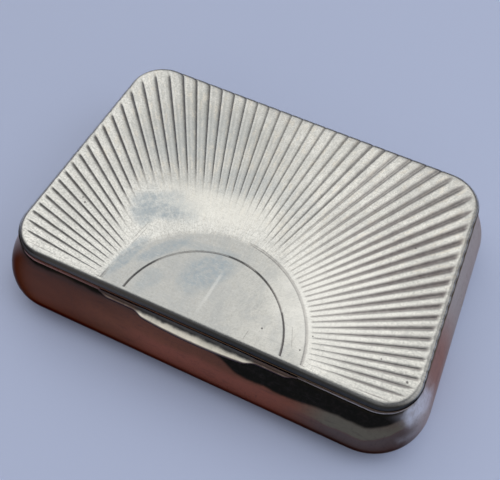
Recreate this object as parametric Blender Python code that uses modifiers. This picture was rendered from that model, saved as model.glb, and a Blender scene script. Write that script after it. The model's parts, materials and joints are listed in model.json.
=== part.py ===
"""Silver snuff box: a bulging base, a hinged lid cut with a sunburst, and a thumb lip.

X runs along the hinge, Y from the thumb lip to the hinge, Z up. The origin is under the middle of the box.
The lid turns about the hinge pin, which lies along the back edge at the height of the seam.
"""

import math

import bmesh
import bpy
from mathutils import Matrix, Vector

MM = 0.001

# Plan of the box at the seam, which is the lid's outline too
LID_LENGTH = 66.0 * MM
LID_WIDTH = 44.8 * MM
CORNER_RADIUS = 6.2 * MM

# Base: its wall bulges past the lid, most at the top of the rounded bottom edge
SEAM_HEIGHT = 11.8 * MM
BULGE = 3.45 * MM
BOTTOM_RADIUS = 3.8 * MM
WALL = 0.7 * MM
SEAM_LAND = 0.85 * MM
WALL_SLANT = math.radians(30)
WALL_HANDLE_SHARES = (0.34, 0.30)

# Lid: a plate with a rolled edge over a side band
PLATE_DEPTH = 1.2 * MM
PLATE_THICKNESS = 0.8 * MM
ROLL_RADIUS = 1.15 * MM
RIM_HEIGHT = 1.05 * MM
RIM_WALL = 0.85 * MM
EDGE_BREAK = 0.12 * MM

# Bezel: the upright strip inside the base that the lid closes over
BEZEL_WALL = 0.5 * MM
BEZEL_ABOVE_SEAM = 0.95 * MM
BEZEL_BELOW_SEAM = 1.6 * MM
BEZEL_END_FROM_BACK = 8.6 * MM

# Clearances
SEAM_GAP = 0.15 * MM
SEAT_GAP = 0.1 * MM
SLIDE_GAP = 0.15 * MM
KNUCKLE_GAP = 0.1 * MM
OVERRUN = 2.0 * MM

# Hinge
HINGE_MARGIN = 8.5 * MM
HINGE_SETBACK = 0.1 * MM
KNUCKLE_COUNT = 7
KNUCKLE_RADIUS = 0.95 * MM
BORE_RADIUS = 0.47 * MM
PIN_RADIUS = 0.4 * MM
PLUG_RADIUS = 0.4 * MM
PLUG_LENGTH = 0.9 * MM
PLUG_DOME = 0.12 * MM
GROOVE_GAP = 0.15 * MM
BEARER_REACH = 2.8 * MM
BASE_BEARER_DEPTH = 2.0 * MM
LID_BEARER_BACK = 0.6 * MM

# Thumb lip on the front of the lid's side band
LIP_HALF_WIDTH = 8.0 * MM
LIP_REACH = 1.7 * MM
LIP_END_REACH = 1.3 * MM
LIP_STEP_LENGTH = 2.2 * MM
LIP_EDGE = 0.35 * MM
LIP_ROOT_HEIGHT = 0.95 * MM
WING_LENGTH = 4.0 * MM
WING_REACH = 0.62 * MM
WING_END_LENGTH = 1.9 * MM
WING_END_REACH = 0.1 * MM

# Sunburst, centred on the lid's front edge
DISC_RING_RADIUS = 12.6 * MM
DISC_RING_SHIFT = 0.2 * MM
DISC_RING_WIDTH = 0.16 * MM
DISC_EDGE_RADIUS = 16.1 * MM
DISC_EDGE_WIDTH = 0.22 * MM
FLUTE_START = 16.6 * MM
SHORT_FLUTE_START = 20.6 * MM
FLUTE_START_WIDTH = 0.28 * MM
FLUTE_SPREAD = math.radians(1.28)
FLUTE_PITCH = math.radians(2.8)
FLUTES_EACH_SIDE = 31
FLUTE_LEAN = math.radians(1.2)
FLUTE_SECOND_LEAN = math.radians(0.35)
FLUTE_RAISE_SHARE = 0.3
CORNER_LAND = 1.25 * MM
CORNER_POINT_LENGTH = 2.2 * MM
FLUTE_TIP_WIDTH = 0.04 * MM

# Points closer than this are one
MERGE_DISTANCE = 0.001 * MM

# Smoothness of round forms
CORNER_STEPS = 9
CURVE_STEPS = 6
ROLL_STEPS = 5
ROUND_STEPS = 24
FLUTE_SIDES = 6
RING_STEPS = 96
LIP_STEPS = 12

# Heights and places that follow from the sizes above
RIM_BOTTOM = SEAM_HEIGHT + SEAM_GAP
RIM_TOP = RIM_BOTTOM + RIM_HEIGHT
PLATE_BOTTOM = RIM_TOP + SEAT_GAP
LID_TOP = PLATE_BOTTOM + PLATE_DEPTH
CEILING = LID_TOP - PLATE_THICKNESS
FRONT_Y = -LID_WIDTH / 2
BACK_Y = LID_WIDTH / 2
BULGE_HEIGHT = BOTTOM_RADIUS
HINGE_LENGTH = LID_LENGTH - 2 * HINGE_MARGIN
HINGE_AXIS = Vector((0, BACK_Y + HINGE_SETBACK, SEAM_HEIGHT))
KNUCKLE_LENGTH = (HINGE_LENGTH - (KNUCKLE_COUNT - 1) * KNUCKLE_GAP) / KNUCKLE_COUNT
GROOVE_RADIUS = KNUCKLE_RADIUS + GROOVE_GAP
HINGE_RECESS_HALF = HINGE_LENGTH / 2 + GROOVE_GAP


def clear_scene():
    """Start from an empty file."""
    for old in list(bpy.data.objects):
        bpy.data.objects.remove(old, do_unlink=True)


def make_collection(name):
    """A collection linked to the scene."""
    collection = bpy.data.collections.new(name)
    bpy.context.scene.collection.children.link(collection)
    return collection


def silver(name, colour, roughness):
    """Worn silver for one piece."""
    material = bpy.data.materials.new(name)
    material.use_nodes = True
    shader = material.node_tree.nodes["Principled BSDF"]
    shader.inputs["Base Color"].default_value = (*colour, 1)
    shader.inputs["Metallic"].default_value = 1
    shader.inputs["Roughness"].default_value = roughness
    return material


def make_object(name, shape, collection, smooth_angle=math.radians(35)):
    """Turn a bmesh into a named object with its faces pointing out."""
    bmesh.ops.recalc_face_normals(shape, faces=shape.faces)
    mesh = bpy.data.meshes.new(name)
    shape.to_mesh(mesh)
    shape.free()
    mesh.shade_smooth()
    mesh.set_sharp_from_angle(angle=smooth_angle)
    piece = bpy.data.objects.new(name, mesh)
    collection.objects.link(piece)
    return piece


def make_cutter(name, shape):
    """A shape that only cuts others."""
    cutter = make_object(name, shape, cutters)
    cutter.hide_render = True
    cutter.display_type = "WIRE"
    return cutter


def cut(piece, cutter):
    """Take the cutter's shape out of the piece."""
    boolean = piece.modifiers.new(cutter.name, "BOOLEAN")
    boolean.operation = "DIFFERENCE"
    boolean.solver = "EXACT"
    boolean.object = cutter


def box_shape(low, high):
    """A box between two corners."""
    shape = bmesh.new()
    size = Vector(high) - Vector(low)
    place = Matrix.Translation((Vector(low) + Vector(high)) / 2) @ Matrix.Diagonal((*size, 1))
    bmesh.ops.create_cube(shape, size=1, matrix=place)
    return shape


def loft(shape, rings, closed=False):
    """Skin a row of rings with equal counts of points: capped at both ends, or closed end to end."""
    rows = [[shape.verts.new(point) for point in ring] for ring in rings]
    count = len(rings[0])
    pairs = list(zip(rows, rows[1:]))
    if closed:
        pairs.append((rows[-1], rows[0]))
    else:
        shape.faces.new(rows[0])
        shape.faces.new(rows[-1])
    for near, far in pairs:
        for index in range(count):
            after = (index + 1) % count
            shape.faces.new((near[index], near[after], far[after], far[index]))


def outline(offset, height):
    """The rounded rectangle of the seam, moved outward by offset, as one ring of points."""
    radius = CORNER_RADIUS + offset
    points = []
    for quarter, (side_x, side_y) in enumerate(((1, 1), (-1, 1), (-1, -1), (1, -1))):
        centre_x = side_x * (LID_LENGTH / 2 - CORNER_RADIUS)
        centre_y = side_y * (LID_WIDTH / 2 - CORNER_RADIUS)
        for step in range(CORNER_STEPS + 1):
            angle = (quarter + step / CORNER_STEPS) * math.pi / 2
            x = centre_x + radius * math.cos(angle)
            y = centre_y + radius * math.sin(angle)
            points.append((x, y, height))
    return points


def bezier(start, start_handle, end_handle, end, steps):
    """Points along a cubic curve, without its start."""
    points = []
    for step in range(1, steps + 1):
        t = step / steps
        s = 1 - t
        points.append(s**3 * start + 3 * s * s * t * start_handle + 3 * s * t * t * end_handle + t**3 * end)
    return points


def wall_profile(seam_offset, bulge, bottom_radius):
    """Half section of the base, from its flat bottom to the seam, as (offset, height)."""
    centre = Vector((bulge - bottom_radius, BULGE_HEIGHT))
    points = []
    for step in range(CURVE_STEPS + 1):
        angle = (step / CURVE_STEPS - 1) * math.pi / 2
        points.append(centre + bottom_radius * Vector((math.cos(angle), math.sin(angle))))
    rise = SEAM_HEIGHT - BULGE_HEIGHT
    low_share, high_share = WALL_HANDLE_SHARES
    start = points[-1]
    end = Vector((seam_offset, SEAM_HEIGHT))
    start_handle = start + Vector((0, rise * low_share))
    end_handle = end + rise * high_share * Vector((math.tan(WALL_SLANT), -1))
    return points + bezier(start, start_handle, end_handle, end, CURVE_STEPS)


def band(name, outer, inner, low, high, collection):
    """An upright strip that follows the outline, with its four edges broken."""
    corners = (
        (outer, low + EDGE_BREAK), (outer, high - EDGE_BREAK), (outer - EDGE_BREAK, high),
        (inner + EDGE_BREAK, high), (inner, high - EDGE_BREAK), (inner, low + EDGE_BREAK),
        (inner + EDGE_BREAK, low), (outer - EDGE_BREAK, low),
    )
    shape = bmesh.new()
    loft(shape, [outline(offset, height) for offset, height in corners], closed=True)
    return make_object(name, shape, collection)


def rod_shape(radius, length, centre):
    """A cylinder along X."""
    shape = bmesh.new()
    place = Matrix.Translation(centre) @ Matrix.Rotation(math.pi / 2, 4, "Y")
    bmesh.ops.create_cone(
        shape, cap_ends=True, segments=ROUND_STEPS,
        radius1=radius, radius2=radius, depth=length, matrix=place,
    )
    return shape


def turned(name, profile, collection):
    """A ring turned about the hinge axis from a closed profile of (radius, place along X)."""
    mesh = bpy.data.meshes.new(name)
    shape = bmesh.new()
    corners = [shape.verts.new((radius, 0, along)) for radius, along in profile]
    for corner, after in zip(corners, corners[1:] + corners[:1]):
        shape.edges.new((corner, after))
    shape.to_mesh(mesh)
    shape.free()
    piece = bpy.data.objects.new(name, mesh)
    collection.objects.link(piece)
    screw = piece.modifiers.new("turn", "SCREW")
    screw.steps = ROUND_STEPS
    screw.render_steps = ROUND_STEPS
    screw.use_merge_vertices = True
    screw.merge_threshold = MERGE_DISTANCE
    screw.use_smooth_shade = True
    piece.location = HINGE_AXIS
    piece.rotation_euler = (0, math.pi / 2, 0)
    return piece


def edge_distance(x, y):
    """How far a point lies outside the lid's outline; less than zero inside."""
    past_x = abs(x) - (LID_LENGTH / 2 - CORNER_RADIUS)
    past_y = abs(y) - (LID_WIDTH / 2 - CORNER_RADIUS)
    outside = math.hypot(max(past_x, 0), max(past_y, 0))
    return outside + min(max(past_x, past_y), 0) - CORNER_RADIUS


def ray_reach(angle):
    """Distance from the sun's centre to the lid's outline, and whether it ends in a corner."""
    near = 0
    far = LID_LENGTH
    while far - near > MERGE_DISTANCE:
        middle = (near + far) / 2
        if edge_distance(middle * math.cos(angle), FRONT_Y + middle * math.sin(angle)) < 0:
            near = middle
        else:
            far = middle
    past_x = abs(near * math.cos(angle)) - (LID_LENGTH / 2 - CORNER_RADIUS)
    past_y = abs(FRONT_Y + near * math.sin(angle)) - (LID_WIDTH / 2 - CORNER_RADIUS)
    return near, past_x > 0 and past_y > 0


def flute(shape, angle, start):
    """One tapered groove of the sunburst, as a closed form that cuts the lid's top."""
    reach, in_corner = ray_reach(angle)
    end = reach - CORNER_LAND if in_corner else reach + OVERRUN

    def width_at(distance):
        return FLUTE_START_WIDTH + (distance - start) * math.tan(FLUTE_SPREAD)

    stations = [(start - FLUTE_START_WIDTH, FLUTE_TIP_WIDTH), (start, FLUTE_START_WIDTH)]
    if in_corner:
        shoulder = end - CORNER_POINT_LENGTH
        stations += [(shoulder, width_at(shoulder)), (end, FLUTE_TIP_WIDTH)]
    else:
        stations.append((end, width_at(end)))
    along = Vector((math.cos(angle), math.sin(angle), 0))
    across = Vector((-math.sin(angle), math.cos(angle), 0))
    up = Vector((0, 0, 1))
    rings = []
    for distance, width in stations:
        radius = width / 2
        centre = Vector((0, FRONT_Y, LID_TOP)) + along * distance + up * radius * FLUTE_RAISE_SHARE
        ring = []
        for side in range(FLUTE_SIDES):
            turn = (side / FLUTE_SIDES - 1 / 4) * 2 * math.pi
            ring.append(centre + radius * (across * math.cos(turn) + up * math.sin(turn)))
        rings.append(ring)
    loft(shape, rings)


def flute_angle(number):
    """Direction of a flute, counted from the middle one; they were set by eye and lean clockwise a little."""
    even = math.pi / 2 + number * FLUTE_PITCH
    return even - FLUTE_LEAN * math.sin(even) - FLUTE_SECOND_LEAN * math.sin(2 * even)


def sunburst_cutter():
    """All the flutes of the sunburst, 63 grooves that fan out from the sun."""
    shape = bmesh.new()
    for number in range(-FLUTES_EACH_SIDE, FLUTES_EACH_SIDE + 1):
        outermost = abs(number) == FLUTES_EACH_SIDE
        start = SHORT_FLUTE_START if outermost else FLUTE_START
        flute(shape, flute_angle(number), start)
    return make_cutter("sunburst_flutes", shape)


def ring_cutter(name, radius, width, shift=0):
    """A fine engraved line round the sun, its centre shifted along X."""
    shape = bmesh.new()
    rings = []
    for step in range(RING_STEPS):
        angle = step / RING_STEPS * 2 * math.pi
        spoke = Vector((math.cos(angle), math.sin(angle), 0))
        centre = Vector((shift, FRONT_Y, LID_TOP)) + spoke * radius
        rings.append([
            centre + spoke * width / 2 + Vector((0, 0, width / 2)),
            centre - spoke * width / 2 + Vector((0, 0, width / 2)),
            centre - Vector((0, 0, width / 2)),
        ])
    loft(shape, rings, closed=True)
    return make_cutter(name, shape)


def make_base_shell():
    """The base: a round-bottomed tray whose walls lean in to the seam."""
    outside = wall_profile(0, BULGE, BOTTOM_RADIUS)
    inside = wall_profile(-SEAM_LAND, BULGE - WALL, BOTTOM_RADIUS - WALL)
    shape = bmesh.new()
    loft(shape, [outline(*point) for point in outside + inside[::-1]])
    return make_object("base_shell", shape, snuff_box)


def make_bezel():
    """The upright strip soldered inside the base, open at the hinge side."""
    outer = -RIM_WALL - SLIDE_GAP
    low = SEAM_HEIGHT - BEZEL_BELOW_SEAM
    high = SEAM_HEIGHT + BEZEL_ABOVE_SEAM
    bezel = band("base_bezel", outer, outer - BEZEL_WALL, low, high, snuff_box)
    corner = (LID_LENGTH / 2, BACK_Y - BEZEL_END_FROM_BACK, low - OVERRUN)
    opposite = (-LID_LENGTH / 2, BACK_Y + OVERRUN, high + OVERRUN)
    cut(bezel, make_cutter("bezel_opening", box_shape(opposite, corner)))
    return bezel


def make_lid_rim():
    """The lid's side band, open where the hinge lies."""
    rim = band("lid_rim", 0, -RIM_WALL, RIM_BOTTOM, RIM_TOP, snuff_box)
    low = (-HINGE_RECESS_HALF, BACK_Y - BEARER_REACH, RIM_BOTTOM - OVERRUN)
    high = (HINGE_RECESS_HALF, BACK_Y + OVERRUN, RIM_TOP + OVERRUN)
    cut(rim, make_cutter("rim_opening", box_shape(low, high)))
    return rim


def make_lid_plate():
    """The lid's top: hollow below, rolled over at its edge and cut with the sunburst."""
    profile = [Vector((-RIM_WALL, CEILING)), Vector((-RIM_WALL, PLATE_BOTTOM)), Vector((0, PLATE_BOTTOM))]
    centre = Vector((-ROLL_RADIUS, LID_TOP - ROLL_RADIUS))
    for step in range(ROLL_STEPS + 1):
        angle = step / ROLL_STEPS * math.pi / 2
        profile.append(centre + ROLL_RADIUS * Vector((math.cos(angle), math.sin(angle))))
    shape = bmesh.new()
    loft(shape, [outline(*point) for point in profile])
    plate = make_object("lid_plate", shape, snuff_box)
    cut(plate, sunburst_cutter())
    cut(plate, ring_cutter("sun_ring", DISC_RING_RADIUS, DISC_RING_WIDTH, DISC_RING_SHIFT))
    cut(plate, ring_cutter("sun_edge", DISC_EDGE_RADIUS, DISC_EDGE_WIDTH))
    return plate


def make_bearers():
    """The strips inside base and lid that carry the knuckles, both hollowed for the barrel."""
    groove = make_cutter("barrel_groove", rod_shape(GROOVE_RADIUS, 2 * HINGE_RECESS_HALF, HINGE_AXIS))
    front = BACK_Y - BEARER_REACH
    low = (-HINGE_LENGTH / 2, front, SEAM_HEIGHT - BASE_BEARER_DEPTH)
    high = (HINGE_LENGTH / 2, BACK_Y - SEAM_LAND - SEAT_GAP, SEAM_HEIGHT)
    base_bearer = make_object("base_joint_bearer", box_shape(low, high), snuff_box)
    low = (-HINGE_LENGTH / 2, front, RIM_BOTTOM)
    high = (HINGE_LENGTH / 2, BACK_Y - LID_BEARER_BACK, RIM_TOP)
    lid_bearer = make_object("lid_joint_bearer", box_shape(low, high), snuff_box)
    for piece in (bpy.data.objects["base_shell"], base_bearer, lid_bearer):
        cut(piece, groove)
    return base_bearer, lid_bearer


def make_knuckles():
    """Seven tubes along the back: the odd ones belong to the base, the even ones to the lid."""
    base_knuckles = []
    lid_knuckles = []
    for index in range(KNUCKLE_COUNT):
        start = -HINGE_LENGTH / 2 + index * (KNUCKLE_LENGTH + KNUCKLE_GAP)
        end = start + KNUCKLE_LENGTH
        profile = [
            (BORE_RADIUS, start), (BORE_RADIUS, end),
            (KNUCKLE_RADIUS - EDGE_BREAK, end), (KNUCKLE_RADIUS, end - EDGE_BREAK),
            (KNUCKLE_RADIUS, start + EDGE_BREAK), (KNUCKLE_RADIUS - EDGE_BREAK, start),
        ]
        if index % 2 == 0:
            name = f"base_knuckle_{len(base_knuckles) + 1}"
            base_knuckles.append(turned(name, profile, snuff_box))
        else:
            name = f"lid_knuckle_{len(lid_knuckles) + 1}"
            lid_knuckles.append(turned(name, profile, snuff_box))
    return base_knuckles, lid_knuckles


def make_pin_and_plugs():
    """The pin through all knuckles, and the two domed plugs that close its ends."""
    pin_length = HINGE_LENGTH - 2 * (PLUG_LENGTH + SEAT_GAP)
    pin = make_object("hinge_pin", rod_shape(PIN_RADIUS, pin_length, HINGE_AXIS), snuff_box)
    plugs = []
    for name, side in (("hinge_plug_left", -1), ("hinge_plug_right", 1)):
        inner = HINGE_LENGTH / 2 - PLUG_LENGTH
        stations = [
            (inner, PLUG_RADIUS), (HINGE_LENGTH / 2 - PLUG_DOME, PLUG_RADIUS),
            (HINGE_LENGTH / 2, PLUG_RADIUS - PLUG_DOME),
        ]
        rings = []
        for along, radius in stations:
            ring = []
            for step in range(ROUND_STEPS):
                turn = step / ROUND_STEPS * 2 * math.pi
                spoke = Vector((0, math.cos(turn), math.sin(turn)))
                ring.append(HINGE_AXIS + Vector((side * along, 0, 0)) + radius * spoke)
            rings.append(ring)
        shape = bmesh.new()
        loft(shape, rings)
        plugs.append(make_object(name, shape, snuff_box))
    return pin, plugs


def eased(share):
    """Smooth change from 0 to 1, level before and after."""
    share = min(max(share, 0), 1)
    return share * share * (3 - 2 * share)


def lip_reach(x):
    """How far the thumb lip stands out at x: a crescent, a short step down, then a fading wing."""
    past_lip = abs(x) - LIP_HALF_WIDTH
    past_wing = past_lip - LIP_STEP_LENGTH - WING_LENGTH
    crescent = LIP_REACH - (LIP_REACH - LIP_END_REACH) * (x / LIP_HALF_WIDTH) ** 2
    wing = WING_REACH + (WING_END_REACH - WING_REACH) * eased(past_wing / WING_END_LENGTH)
    return crescent + (wing - crescent) * eased(past_lip / LIP_STEP_LENGTH)


def make_thumb_piece():
    """The thumb lip: flat below, with a hollow sweeping up to the lid's side band."""
    wing_start = LIP_HALF_WIDTH + LIP_STEP_LENGTH
    wing_end = wing_start + WING_LENGTH
    half = [step / LIP_STEPS * LIP_HALF_WIDTH for step in range(LIP_STEPS + 1)]
    half += [LIP_HALF_WIDTH + step / CURVE_STEPS * LIP_STEP_LENGTH for step in range(1, CURVE_STEPS + 1)]
    half += [wing_end + step / CURVE_STEPS * WING_END_LENGTH for step in range(CURVE_STEPS + 1)]
    places = [-x for x in half[:0:-1]] + half
    root = FRONT_Y - SEAT_GAP
    rings = []
    for x in places:
        reach = lip_reach(x)
        share = reach / LIP_REACH
        height = LIP_EDGE + (LIP_ROOT_HEIGHT - LIP_EDGE) * math.sqrt(share)
        edge = min(LIP_EDGE, height)
        ring = [(x, root, RIM_BOTTOM), (x, root - reach, RIM_BOTTOM + EDGE_BREAK)]
        for step in range(CURVE_STEPS + 1):
            angle = step / CURVE_STEPS * math.pi / 2
            across = root - reach * (1 - math.sin(angle))
            up = RIM_BOTTOM + edge + (height - edge) * (1 - math.cos(angle))
            ring.append((x, across, up))
        rings.append(ring)
    shape = bmesh.new()
    loft(shape, rings)
    return make_object("thumb_piece", shape, snuff_box)


def hang_on(piece, parent):
    """Parent a piece to an empty without moving it."""
    piece.parent = parent
    piece.matrix_parent_inverse = Matrix.Translation(parent.location).inverted()


clear_scene()
snuff_box = make_collection("snuff_box")
cutters = make_collection("cutters")

base_origin = bpy.data.objects.new("base_origin", None)
lid_axis = bpy.data.objects.new("lid_hinge_axis", None)
lid_axis.location = HINGE_AXIS
snuff_box.objects.link(base_origin)
snuff_box.objects.link(lid_axis)

base_shell = make_base_shell()
base_bezel = make_bezel()
lid_plate = make_lid_plate()
lid_rim = make_lid_rim()
base_joint_bearer, lid_joint_bearer = make_bearers()
base_knuckles, lid_knuckles = make_knuckles()
hinge_pin, hinge_plugs = make_pin_and_plugs()
thumb_piece = make_thumb_piece()

base_silver = silver("base_silver", (0.46, 0.44, 0.45), 0.24)
lid_silver = silver("lid_silver", (0.74, 0.72, 0.71), 0.30)
rim_silver = silver("rim_silver", (0.50, 0.46, 0.45), 0.26)
hinge_silver = silver("hinge_silver", (0.55, 0.53, 0.52), 0.30)
pin_silver = silver("pin_silver", (0.40, 0.38, 0.37), 0.40)

for part in (base_shell, base_bezel):
    part.data.materials.append(base_silver)
lid_plate.data.materials.append(lid_silver)
for part in (lid_rim, thumb_piece):
    part.data.materials.append(rim_silver)
for part in (base_joint_bearer, lid_joint_bearer, *base_knuckles, *lid_knuckles):
    part.data.materials.append(hinge_silver)
for part in (hinge_pin, *hinge_plugs):
    part.data.materials.append(pin_silver)

for part in (base_shell, base_bezel, base_joint_bearer, *base_knuckles, hinge_pin, *hinge_plugs):
    hang_on(part, base_origin)
for part in (lid_plate, lid_rim, lid_joint_bearer, *lid_knuckles, thumb_piece):
    hang_on(part, lid_axis)
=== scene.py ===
"""Looks of the silver snuff box: worn sunburst lid, tarnished walls, thumb lip and hinge."""

import json
import math

import bmesh
import bpy
import numpy as np
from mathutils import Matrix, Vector


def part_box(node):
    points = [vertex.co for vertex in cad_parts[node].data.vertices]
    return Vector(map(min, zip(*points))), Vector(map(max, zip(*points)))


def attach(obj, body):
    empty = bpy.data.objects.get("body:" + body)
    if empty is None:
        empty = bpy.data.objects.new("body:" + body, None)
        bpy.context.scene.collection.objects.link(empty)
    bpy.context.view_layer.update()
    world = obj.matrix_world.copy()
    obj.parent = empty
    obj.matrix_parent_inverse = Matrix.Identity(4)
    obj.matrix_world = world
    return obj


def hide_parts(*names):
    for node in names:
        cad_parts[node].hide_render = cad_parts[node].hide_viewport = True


MM = 0.001
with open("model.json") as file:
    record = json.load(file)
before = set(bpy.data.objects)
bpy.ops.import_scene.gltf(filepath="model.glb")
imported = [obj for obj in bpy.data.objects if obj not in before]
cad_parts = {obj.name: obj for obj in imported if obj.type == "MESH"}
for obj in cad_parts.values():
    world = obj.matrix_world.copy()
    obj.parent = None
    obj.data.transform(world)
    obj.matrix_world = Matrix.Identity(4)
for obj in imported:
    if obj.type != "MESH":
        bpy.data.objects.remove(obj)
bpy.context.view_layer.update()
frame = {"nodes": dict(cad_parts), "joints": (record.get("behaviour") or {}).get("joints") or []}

# Sizes in millimetres, read from the frame
plate_low, plate_high = (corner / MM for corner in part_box("lid_plate"))
lip_low, lip_high = (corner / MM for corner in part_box("thumb_piece"))
knuckle_low, knuckle_high = (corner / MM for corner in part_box("base_knuckle_1"))
rim_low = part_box("lid_rim")[0] / MM
shell_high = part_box("base_shell")[1] / MM
hinge = next(joint for joint in frame["joints"] if joint["name"] == "lid_hinge")
HALF_LENGTH = plate_high.x
HALF_WIDTH = plate_high.y
FRONT = plate_low.y
TOP = plate_high.z
PLATE_BOTTOM = plate_low.z
RIM_LOW = rim_low.z
SEAM = shell_high.z
BULGE = shell_high.x - HALF_LENGTH
LIP_ROOT = lip_high.y
LIP_LOW = lip_low.z
AXIS = Vector(hinge["pos_m"]) / MM

# Sizes that the frame doesn't give: millimetres, the wall's slant, and handles as shares of its rise
CORNER = 6.2
ROLL = 1.15
RIM_WALL = 0.85
PLATE_THICKNESS = 0.8
BOTTOM_RADIUS = 3.8
WALL = 0.7
SEAM_LAND = 0.85
WALL_SLANT = math.radians(30)
WALL_HANDLE_SHARES = (0.34, 0.30)
EDGE_BREAK = 0.12
GROOVE_GAP = 0.15
RECESS_REACH = 3.0
CUT_OVERRUN = 2.0
CEILING = TOP - PLATE_THICKNESS
GROOVE_RADIUS = (knuckle_high.z - knuckle_low.z) / 2 + GROOVE_GAP
RECESS_HALF = -knuckle_low.x + GROOVE_GAP

# Thumb lip, in millimetres
LIP_HALF_WIDTH = 8.0
LIP_REACH = 1.7
LIP_END_REACH = 1.3
LIP_STEP_LENGTH = 2.2
LIP_EDGE = 0.3
WING_LENGTH = 4.0
WING_REACH = 0.62
WING_END_LENGTH = 1.9
WING_END_REACH = 0.1
LIP_COLUMNS = 161
LIP_ARC_STEPS = 12

# Sunburst: angles in degrees, radii from the middle of the lid's front edge in millimetres
PITCH = 2.8
FLUTES_EACH_SIDE = 31
SUN_RING = 12.6
SUN_RING_SHIFT = 0.2
SUN_EDGE = 16.1
INNER_DISC = 12.0
FLUTE_START = 16.7
SHORT_FLUTE_START = 20.6
CORNER_LAND = 0.95
CORNER_POINT_LENGTH = 2.0

# Where the wear has rubbed the flutes away, as angle round the sun and radius
WEAR_ANGLES = (0, 60, 80, 88, 95, 105, 115, 125, 135, 142, 148, 155, 180)
WEAR_RADII = (16.7, 16.7, 17.2, 19.0, 20.5, 21.8, 23.4, 25.6, 26.0, 23.2, 19.2, 17.0, 16.7)

# The band of tarnish and painted shade at the upper right, as angle round the sun, width and strength
BAND_ANGLES = (48, 64, 81)
BAND_WIDTH_SHARES = (0.48, 0.375, 0.30)
BAND_STRENGTH_SHARES = (1.0, 0.62, 0.45)
BAND_SHIFT_SHARE = 0.10

# Fine relief of the lid, in millimetres
RING_WIDTH = 0.19
RING_DEPTH = 0.12
STEP_WIDTH = 0.34
STEP_DEPTH = 0.10
DISC_SINK = 0.05
HOLLOW_DEPTH = 0.07
HOLLOW_PLACE = (-6, 17)
HOLLOW_SPREAD = 40

# Columns of the lid's mesh: places across a flute as shares of the pitch, and close columns at each end
COLUMN_SHARES = (-0.5, -0.4, -0.3, -0.2, -0.12, -0.06, 0, 0.06, 0.12, 0.2, 0.3, 0.4)
END_COLUMNS = 8
END_COLUMN_STEP = 0.15

# Rows of the lid's mesh: over the disc, at radii in millimetres, as shares of the way out, round the roll
DISC_ROWS = 6
RING_RADII = (
    INNER_DISC, 12.2, 12.3, 12.4, 12.5, 12.6, 12.7, 12.8, 12.9, 13.0, 13.8, 14.8, 15.6, 15.76,
    15.88, 15.98, 16.08, 16.18, 16.28, 16.4, 16.55, 16.7, 16.85, 17.0, 17.2,
)
OUTER_SHARES = (
    0.04, 0.08, 0.13, 0.18, 0.24, 0.3, 0.36, 0.42, 0.48, 0.54, 0.6, 0.66, 0.71, 0.76,
    0.81, 0.85, 0.885, 0.915, 0.94, 0.96, 0.98, 1.0,
)
ROLL_STEPS = 9

# Mesh work: distance at which points merge, in millimetres, angle of a sharp edge, steps of a search
MERGE_DISTANCE = 0.002
SHARP_ANGLE = math.radians(50)
HALVINGS = 45


def smooth(value, low, high):
    """Smooth step from 0 at low to 1 at high."""
    share = np.clip((value - low) / (high - low), 0, 1)
    return share * share * (3 - 2 * share)


def edge_distance(x, y):
    """Distance outside the lid's outline; less than zero inside."""
    past_x = np.abs(x) - (HALF_LENGTH - CORNER)
    past_y = np.abs(y) - (HALF_WIDTH - CORNER)
    outside = np.hypot(np.maximum(past_x, 0), np.maximum(past_y, 0))
    return outside + np.minimum(np.maximum(past_x, past_y), 0) - CORNER


def edge_normal(x, y):
    """Outward direction of the outline nearest to a point."""
    past_x = np.maximum(np.abs(x) - (HALF_LENGTH - CORNER), 0)
    past_y = np.maximum(np.abs(y) - (HALF_WIDTH - CORNER), 0)
    length = np.maximum(np.hypot(past_x, past_y), 1e-9)
    return np.sign(x) * past_x / length, np.sign(y) * past_y / length


def march(x, y, step_x, step_y, offset, far):
    """Move points along their directions until they lie at the given offset from the outline."""
    near = np.zeros_like(x)
    far = np.full_like(x, far)
    for _ in range(HALVINGS):
        middle = (near + far) / 2
        inside = edge_distance(x + middle * step_x, y + middle * step_y) < offset
        near = np.where(inside, middle, near)
        far = np.where(inside, far, middle)
    return x + near * step_x, y + near * step_y


def lean(angle):
    """How far the hand-set flutes lean from even spacing, in degrees."""
    turn = np.radians(angle)
    return -1.2 * np.sin(turn) - 0.35 * np.sin(2 * turn) + 0.5 * np.exp(-(((angle - 44) / 14) ** 2))


def flute_count(angle):
    """Which flute an angle round the sun belongs to, counted from the middle one, with fractions."""
    even = angle
    for _ in range(3):
        even = angle - lean(even)
    return (even - 90) / PITCH


def at_right(angle):
    """1 for flutes at the right of the sun, 0 for those further round."""
    return 1 - smooth(angle, 45, 70)


def at_left(angle):
    """1 for flutes at the left of the sun, 0 for those before."""
    return smooth(angle, 125, 145)


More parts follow.
